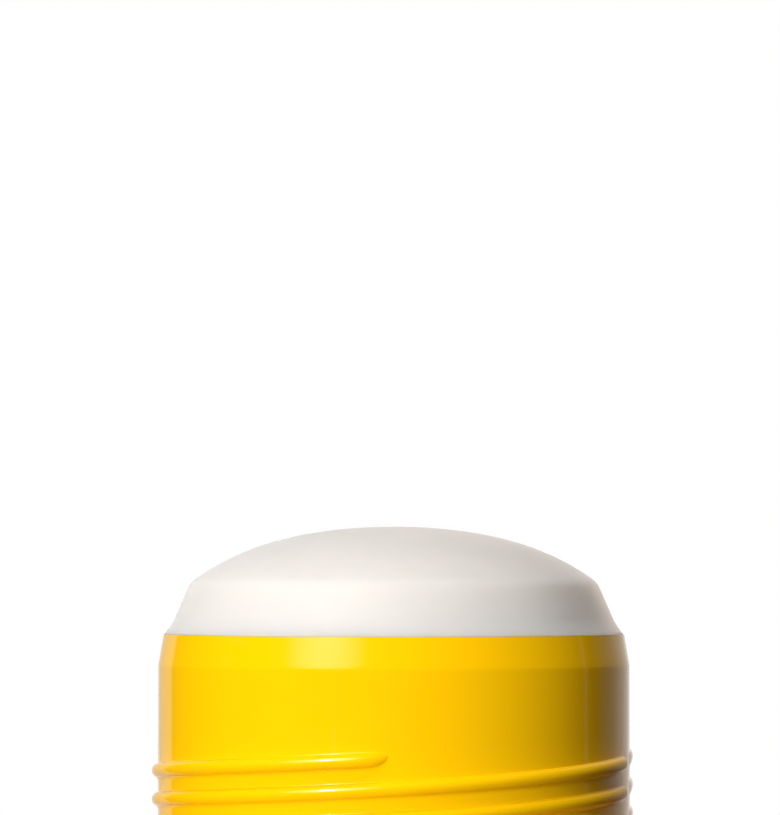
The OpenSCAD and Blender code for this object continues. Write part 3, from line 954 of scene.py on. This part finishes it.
@dataclass(frozen=True)
class MouldedPlastic:
    """An injection-moulded plastic, glossy or satin by its roughness."""

    name: str
    colour: Colour
    roughness: float
    drift: float = 0.03
    peel_scale: float = 900.0
    peel_height: float = 0.000002
    handled: float = 0.5
    smudge_dull: float = 0.05
    scratch_dull: float = 0.06
    scratch_depth: float = 0.2
    scratch_pale: float = 0.015
    scratch_colour: Colour = (1.0, 0.95, 0.8)

    def make(self, groups: dict[str, NodeTree]) -> Material:
        """Builds the material from the shared groups.

        Args:
            groups: The shared node groups by name.

        Returns:
            The material.
        """
        material, bench = blank_material(self.name)
        skin = bench.add("ShaderNodeGroup", {
            "Colour": rgba(self.colour), "Drift": self.drift, "Peel Scale": self.peel_scale,
            "Roughness": self.roughness}, node_tree=groups["skin"]).outputs
        traces = bench.add("ShaderNodeGroup", {"Amount": self.handled},
                           node_tree=groups["handling"]).outputs
        pale, dull, deep = (
            bench.math("MULTIPLY", traces["Scratches"], share)
            for share in (self.scratch_pale, self.scratch_dull, self.scratch_depth))
        worn = bench.math("ADD", dull, bench.math("MULTIPLY", traces["Smudges"], self.smudge_dull))
        bump = bench.add("ShaderNodeBump", {
            "Strength": 1.0, "Distance": self.peel_height,
            "Height": bench.math("SUBTRACT", skin["Height"], deep)})
        bench.show(bench.add("ShaderNodeBsdfPrincipled", {
            "Base Color": bench.mix(pale, skin["Colour"], rgba(self.scratch_colour)),
            "Roughness": bench.math("ADD", skin["Roughness"], worn), "IOR": 1.5,
            "Normal": bump.outputs[0]}))
        return material


@dataclass(frozen=True)
class PouredWax:
    """The stick's own finish: pale, satin and a little see-through, with a soft cast skin."""

    name: str = "ivory_wax"
    colour: Colour = (0.637, 0.612, 0.575)
    cool: Colour = (0.617, 0.595, 0.562)
    roughness: Pair = (0.55, 0.67)
    gloss: float = 0.2
    through: float = 0.5
    depth: Colour = (0.008, 0.0072, 0.006)
    skin_height: float = 0.00001

    def make(self) -> Material:
        """Builds the material: clouds in the cast, small dimples and a fine grain.

        Returns:
            The material.
        """
        material, bench = blank_material(self.name)
        where = bench.add("ShaderNodeTexCoord").outputs["Object"]
        cloud = bench.noise(where, 95.0, Detail=5.0, Roughness=0.6)
        grain = bench.noise(where, 1500.0, Detail=3.0)
        dimple = bench.noise(where, 260.0, Detail=2.0)
        bump = bench.add("ShaderNodeBump", {
            "Strength": 1.0, "Distance": self.skin_height,
            "Height": bench.math("ADD", bench.math("MULTIPLY", grain, 0.25), dimple)})
        bench.show(bench.add("ShaderNodeBsdfPrincipled", {
            "Base Color": bench.mix(
                bench.remap(cloud, 0.35, 0.68), rgba(self.colour), rgba(self.cool)),
            "Roughness": bench.remap(dimple, 0.3, 0.7, *self.roughness),
            "IOR": 1.43, "Specular IOR Level": self.gloss, "Normal": bump.outputs[0],
            "Subsurface Weight": self.through, "Subsurface Radius": self.depth,
            "Subsurface Scale": 1.0}))
        return material


# -------- the studio


@dataclass(frozen=True)
class SoftLamp:
    """A round soft lamp that faces a point from an azimuth, a height angle and a distance.

    Azimuth 0 is on the camera's side, and it grows towards +X. A lamp that doesn't light shows
    only in the gloss. One that isn't reflected stays out of forward sampling too, which would
    leave a weak image of it in the gloss.
    """

    name: str
    azimuth: float
    elevation: float
    distance: float
    size: float
    power: float
    lights: bool = True
    reflected: bool = True

    def place(self, target: Vector) -> None:
        """Adds the lamp to the scene.

        Args:
            target: The point that it faces.
        """
        a, e = math.radians(self.azimuth), math.radians(self.elevation)
        way = Vector((math.sin(a) * math.cos(e), -math.cos(a) * math.cos(e), math.sin(e)))
        lamp = bpy.data.lights.new(self.name, "AREA")
        lamp.shape = "DISK"
        lamp.size = self.size
        lamp.energy = self.power
        made = stand(self.name, lamp)
        made.location = target + way * self.distance
        made.rotation_euler = way.to_track_quat("Z", "Y").to_euler()
        made.visible_camera = False
        made.visible_diffuse = self.lights
        made.visible_glossy = self.reflected
        lamp.cycles.use_multiple_importance_sampling = self.reflected


@dataclass(frozen=True)
class Studio:
    """The camera, the white world, the pale floor and the lamps.

    Angles are in degrees round the object from the camera's side, positive to the right. Lengths
    are in metres, but the sensor's in millimetres. Pairs are the two ends of a change, but key_at
    holds the key lamp's angle and its height angle.
    """

    target_z: float
    camera_away: float = 0.342
    camera_up: float = 0.0045
    camera_side: float = -0.000315
    pitch: float = 2.31
    focal_pixels: float = 4229.0
    sensor: float = 36.0
    fill: Colour = (0.030, 0.018, 0.010)
    near_level: float = 0.56
    left_from: float = 138.3
    left_blur: float = 1.2
    left_run: float = 18.0
    left_dim: float = 0.92
    right_level: float = 0.70
    right_rise: Pair = (113.0, 160.0)
    right_down: Pair = (-0.40, -0.10)
    strip_at: float = 106.6
    strip_level: float = 0.22
    strip_half: Pair = (0.6, 1.8)
    behind_from: float = 158.0
    left_spill: float = 3.2
    left_spill_blur: float = 1.0
    right_spill: float = 6.4
    right_spill_rise: Pair = (123.0, 150.0)
    right_tint: Colour = (1.0, 0.87, 0.77)
    spill_lift: Pair = (8.0, 30.0)
    floor_r: float = 0.42
    floor_down: float = 0.02
    floor_fade: Pair = (0.10, 0.3864)
    floor_seen: Colour = (0.86, 0.86, 0.86)
    floor_bounce: Colour = (0.07, 0.06, 0.05)
    key_at: Pair = (-35.0, 31.0)
    halo: float = 52.0
    halo_from: float = 0.11
    halo_r: float = 0.46

    def place_camera(self) -> None:
        """Sets the camera in front, level with the lip and tipped up as the photograph is."""
        data = bpy.data.cameras.new("camera")
        data.sensor_fit = "VERTICAL"
        data.sensor_height = self.sensor
        data.lens = self.focal_pixels / IMAGE_H * self.sensor
        data.clip_start = 0.01
        made = stand("camera", data)
        made.location = (self.camera_side, -self.camera_away, self.target_z + self.camera_up)
        made.rotation_euler = (math.radians(90.0 + self.pitch), 0.0, 0.0)
        bpy.context.scene.camera = made

    def hang_world(self) -> None:
        """A world that is white to the camera and to glass, and a studio to all other rays.

        Gloss rays meet a pale backdrop behind the object. On the left it starts at a clean edge.
        On the right it rises slowly after one thin dim strip, but not for rays that go steeply
        down. Both come to about white straight behind. All other rays meet a bright spill near
        the horizon on both sides instead, warm on the right. A low warm fill is the least of
        either.
        """
        world = bpy.data.worlds.new("studio")
        bpy.context.scene.world = world
        world.use_nodes = True
        world.node_tree.nodes.clear()
        bench = Bench(world.node_tree)
        way = bench.add("ShaderNodeTexCoord").outputs["Generated"]
        axis = bench.add("ShaderNodeSeparateXYZ", {0: way}).outputs
        front = bench.math("MULTIPLY", axis["Y"], -1.0)
        turn = bench.math("DEGREES", bench.math("ARCTAN2", axis["X"], front))
        apart = bench.math("ABSOLUTE", turn)
        lift = bench.math("ABSOLUTE", bench.math("DEGREES", bench.math("ARCSINE", axis["Z"])))

        near, edge = self.near_level, -self.left_from
        left = bench.math(
            "MULTIPLY", bench.remap(turn, edge - self.left_blur, edge + self.left_blur, 1.0, 0.0),
            bench.remap(apart, -edge, self.left_run - edge, self.left_dim * near, near))
        rise = bench.remap(turn, *self.right_rise, 0.0, self.right_level, "LINEAR")
        right = bench.math("MULTIPLY", rise, bench.remap(axis["Z"], *self.right_down))
        off_strip = bench.math("ABSOLUTE", bench.math("SUBTRACT", turn, self.strip_at))
        strip = bench.remap(off_strip, *self.strip_half, self.strip_level, 0.0)
        behind = bench.remap(apart, self.behind_from, 180.0, 0.0, 1.0 - near)
        backdrop = bench.math(
            "ADD", bench.math("ADD", left, right), bench.math("ADD", strip, behind))

        blur = self.left_spill_blur
        from_left = bench.remap(turn, edge - blur, edge + blur, self.left_spill, 0.0)
        from_right = bench.remap(turn, *self.right_spill_rise, 0.0, self.right_spill)
        sides = bench.vector(
            "ADD", from_left, bench.vector("MULTIPLY", from_right, self.right_tint))
        spill = bench.vector("MULTIPLY", sides, bench.remap(lift, *self.spill_lift, 1.0, 0.0))

        studio = bench.mix(
            bench.add("ShaderNodeLightPath").outputs["Is Glossy Ray"],
            bench.vector("MAXIMUM", spill, self.fill),
            bench.vector("MAXIMUM", backdrop, self.fill))
        bench.show(bench.add("ShaderNodeBackground", {
            "Color": bench.mix(bench.seen(), studio, WHITE), "Strength": 1.0}),
            "ShaderNodeOutputWorld")

    def lay_floor(self) -> None:
        """A pale round floor that keeps the object's shadow and fades to white at its edge.

        It throws little light back, and it doesn't show in the gloss.
        """
        surface = Surface()
        reach = line((0.0, -self.floor_down), (self.floor_r / MM, -self.floor_down), 24)
        angle = np.linspace(360.0, 0.0, 96, endpoint=False)
        lathe(surface, np.tile(reach[:, 0], (96, 1)), angle, reach[:, 1], End.START)
        floor = surface.build("studio_floor")

        material, bench = blank_material("studio_floor")
        where = bench.add("ShaderNodeTexCoord").outputs["Object"]
        away = bench.add("ShaderNodeVectorMath", {0: where}, operation="LENGTH").outputs["Value"]
        fade = bench.remap(away, *self.floor_fade)
        seen = bench.seen()
        paper = bench.add("ShaderNodeBsdfDiffuse", {
            "Color": bench.mix(seen, rgba(self.floor_bounce), rgba(self.floor_seen))})
        white = bench.add("ShaderNodeEmission", {"Color": WHITE, "Strength": 1.0})
        bench.show(bench.add("ShaderNodeMixShader", {
            0: bench.math("MULTIPLY", fade, seen), 1: paper.outputs[0], 2: white.outputs[0]}))
        dress(floor, material)
        floor.visible_glossy = False

    def light(self) -> None:
        """Hangs the key lamp on the left, and soft fills that leave no reflection.

        What the gloss mirrors of the key is a bright heart in a stack of wider discs, which
        together fall off as halo * (1 - radius / halo_r)^2. A disc's power is pi times its area
        times its brightness.
        """
        target = Vector((0.0, 0.0, self.target_z))
        reach = np.linspace(self.halo_from, self.halo_r, 13)
        level = self.halo * (1 - reach / self.halo_r) ** 2
        lamps = [
            SoftLamp(f"key_halo_{i}", *self.key_at, 1.0, 2 * radius,
                     math.pi * (math.pi * radius**2) * step, lights=False)
            for i, (radius, step) in enumerate(zip(reach[:-1], level[:-1] - level[1:]))]
        lamps += [
            SoftLamp("key_heart", -35.8, 31.0, 0.99, 0.14, 3.2, lights=False),
            SoftLamp("key_body", -30.0, 8.0, 1.0, 0.5, 13.3, reflected=False),
            SoftLamp("top_body", 10.0, 80.0, 1.0, 0.5, 6.3, reflected=False)]
        for lamp in lamps:
            lamp.place(target)


# -------- putting it together


def dress(piece: Object, material: Material) -> None:
    """Gives a piece one material in place of any that it has."""
    piece.data.materials.clear()
    piece.data.materials.append(material)


def fit(piece: Object, material: Material, body: Body, node: str) -> None:
    """Dresses a new piece, sets it on its body in place of a frame's node, and reports it.

    Args:
        piece: The new piece.
        material: Its finish.
        body: The body that it rides on.
        node: The node that it stands for, which it hides.
    """
    dress(piece, material)
    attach(piece, body.value)
    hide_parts(node)
    log.info("%s: %d faces on %s, for %s", piece.name, len(piece.data.polygons), body.value, node)


def main() -> None:
    """Builds the stick's parts in order and the studio round them."""
    logging.basicConfig(level=logging.INFO, format="%(name)s: %(message)s")
    bpy.context.scene.view_settings.view_transform = "Standard"
    lip_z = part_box("barrel")[1].z / MM
    seat_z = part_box("deodorant")[0].z / MM

    groups = {"skin": moulded_skin_group(), "handling": handling_group()}
    yellow = MouldedPlastic("yellow_gloss", (0.95, 0.53, 0.001), 0.09).make(groups)
    natural = MouldedPlastic("natural_plastic", (0.80, 0.80, 0.77), 0.42, drift=0.02,
                             peel_scale=1400.0, handled=0.3).make(groups)

    fit(ScrewNeckBarrel(lip_z).build(), yellow, Body.BARREL, "barrel")
    fit(DomedStick(lip_z, seat_z).build(), PouredWax().make(), Body.CARRIER, "deodorant")
    fit(HandWheel().build(), yellow, Body.WHEEL, "hand_wheel")
    for node in ("platform", "lift_screw"):
        dress(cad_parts[node], natural)
        log.info("%s: kept from the frame", node)

    studio = Studio(lip_z * MM)
    studio.place_camera()
    studio.hang_world()
    studio.lay_floor()
    studio.light()


if __name__ == "__main__":
    main()
